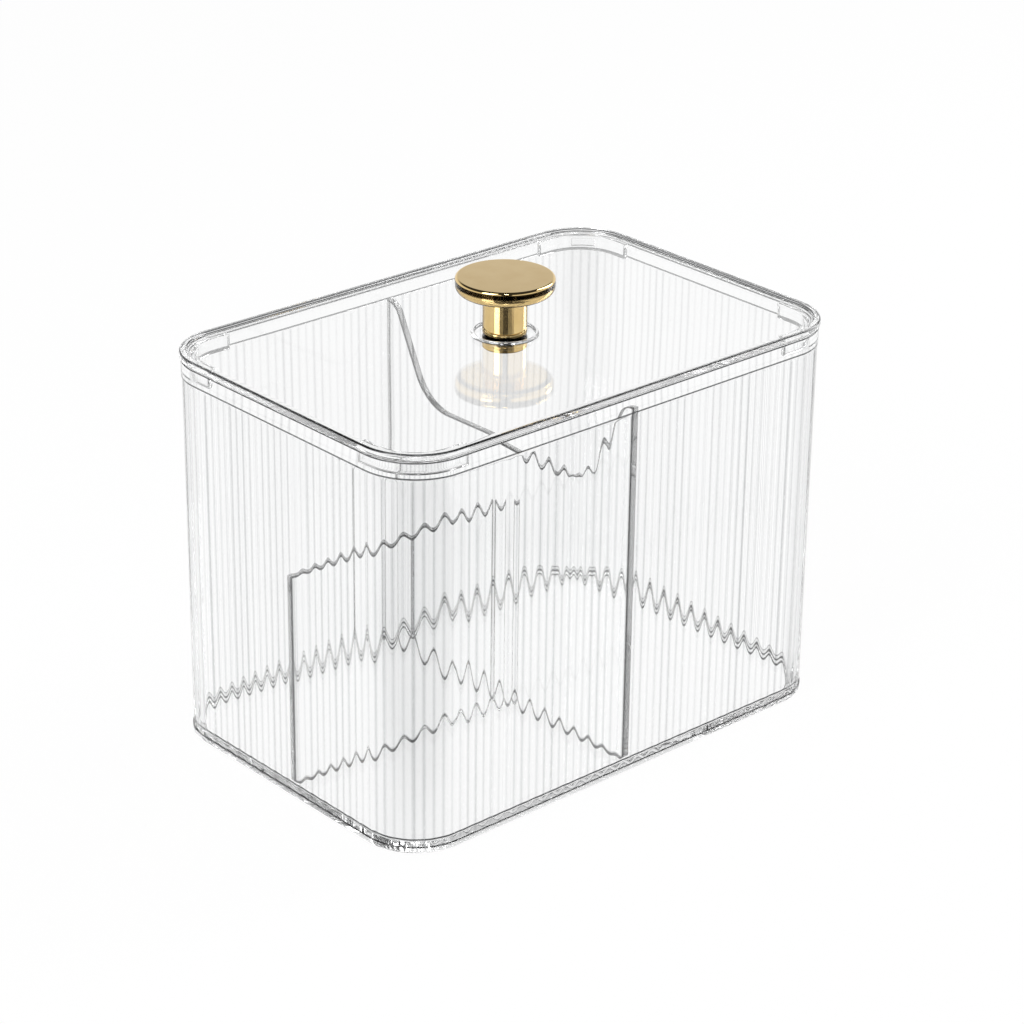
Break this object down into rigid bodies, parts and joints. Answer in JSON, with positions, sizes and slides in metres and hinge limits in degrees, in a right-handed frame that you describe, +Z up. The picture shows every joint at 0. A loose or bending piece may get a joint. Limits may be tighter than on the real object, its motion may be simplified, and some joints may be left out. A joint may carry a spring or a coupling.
{
  "type": "makeup organizer",
  "caption": "Clear fluted box with rounded corners, upright dividers and a lift-off lid with a round metal knob, for cosmetics and cotton pads.",
  "frame": {"origin": "middle of the underside of the base, on the surface the box stands on", "axes": "+X along the long side, away from the low divider; +Y towards the back; +Z up, through the knob"},
  "size_m": [0.18, 0.121, 0.1487],
  "materials": {
    "clear_box": "clear, polished",
    "clear_divider": "clear, polished",
    "clear_lid": "clear, polished",
    "polished_gold": "polished gold plating",
    "screw_steel": "plated steel"
  },
  "bodies": {
    "base": {"box": "clear_box", "tall_divider": "clear_divider", "low_divider": "clear_divider"},
    "cover": {"lid": "clear_lid", "knob": "polished_gold", "ferrule": "polished_gold", "knob_screw": "screw_steel"}
  },
  "joints": [
    {"name": "lid_lift", "type": "slide", "parent": "base", "child": "cover", "axis": [0, 0, 1], "range_m": [0, 0.1]}
  ]
}
